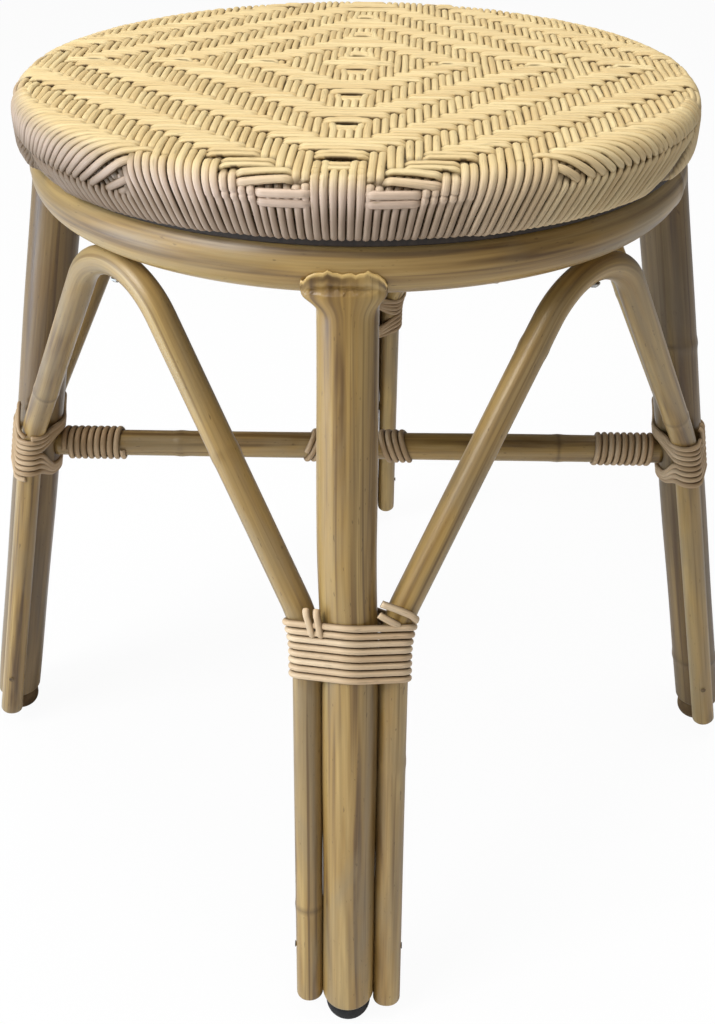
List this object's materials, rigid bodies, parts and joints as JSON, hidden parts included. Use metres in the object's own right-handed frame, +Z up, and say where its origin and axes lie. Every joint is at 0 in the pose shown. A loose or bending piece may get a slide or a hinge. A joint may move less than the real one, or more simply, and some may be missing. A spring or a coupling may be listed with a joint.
{
  "type": "rattan stool",
  "caption": "Round woven rattan stool with splayed pole legs, bent corner braces, crossed stretchers and strand lashings.",
  "frame": {"origin": "on the floor under the middle of the stool", "axes": "+Z up; the front leg stands on -Y and the right leg on +X"},
  "size_m": [0.5528, 0.5528, 0.4802],
  "materials": {
    "rattan_pole": "peeled rattan pole under a thin satin lacquer",
    "binding_strand": "split cane strand, pale and satin",
    "woven_strand": "round core strands, straw coloured and satin",
    "dark_board": "thin plywood, dark stained and matte",
    "black_glide": "moulded black plastic, smooth",
    "fixing_steel": "plain steel, slightly dull"
  },
  "bodies": {
    "root": {"seat_weave": "woven_strand", "seat_rim_hoop": "rattan_pole", "seat_board": "dark_board", "leg_hoop": "rattan_pole", "stretcher_side_to_side": "rattan_pole", "stretcher_front_to_back": "rattan_pole", "cross_lashing_over": "binding_strand", "cross_lashing_under": "binding_strand", "leg_front": "rattan_pole", "brace_front_right": "rattan_pole", "leg_binding_front": "binding_strand", "stretcher_wrap_front": "binding_strand", "foot_glide_front": "black_glide", "leg_screw_front": "fixing_steel", "stretcher_screw_front": "fixing_steel", "brace_screw_front_right": "fixing_steel", "seat_screw_front": "fixing_steel", "tail_nail_front_a": "fixing_steel", "tail_nail_front_b": "fixing_steel", "leg_right": "rattan_pole", "brace_back_right": "rattan_pole", "leg_binding_right": "binding_strand", "stretcher_wrap_right": "binding_strand", "foot_glide_right": "black_glide", "leg_screw_right": "fixing_steel", "stretcher_screw_right": "fixing_steel", "brace_screw_back_right": "fixing_steel", "seat_screw_right": "fixing_steel", "tail_nail_right_a": "fixing_steel", "tail_nail_right_b": "fixing_steel", "leg_back": "rattan_pole", "brace_back_left": "rattan_pole", "leg_binding_back": "binding_strand", "stretcher_wrap_back": "binding_strand", "foot_glide_back": "black_glide", "leg_screw_back": "fixing_steel", "stretcher_screw_back": "fixing_steel", "brace_screw_back_left": "fixing_steel", "seat_screw_back": "fixing_steel", "tail_nail_back_a": "fixing_steel", "tail_nail_back_b": "fixing_steel", "leg_left": "rattan_pole", "brace_front_left": "rattan_pole", "leg_binding_left": "binding_strand", "stretcher_wrap_left": "binding_strand", "foot_glide_left": "black_glide", "leg_screw_left": "fixing_steel", "stretcher_screw_left": "fixing_steel", "brace_screw_front_left": "fixing_steel", "seat_screw_left": "fixing_steel", "tail_nail_left_a": "fixing_steel", "tail_nail_left_b": "fixing_steel"}
  },
  "joints": []
}
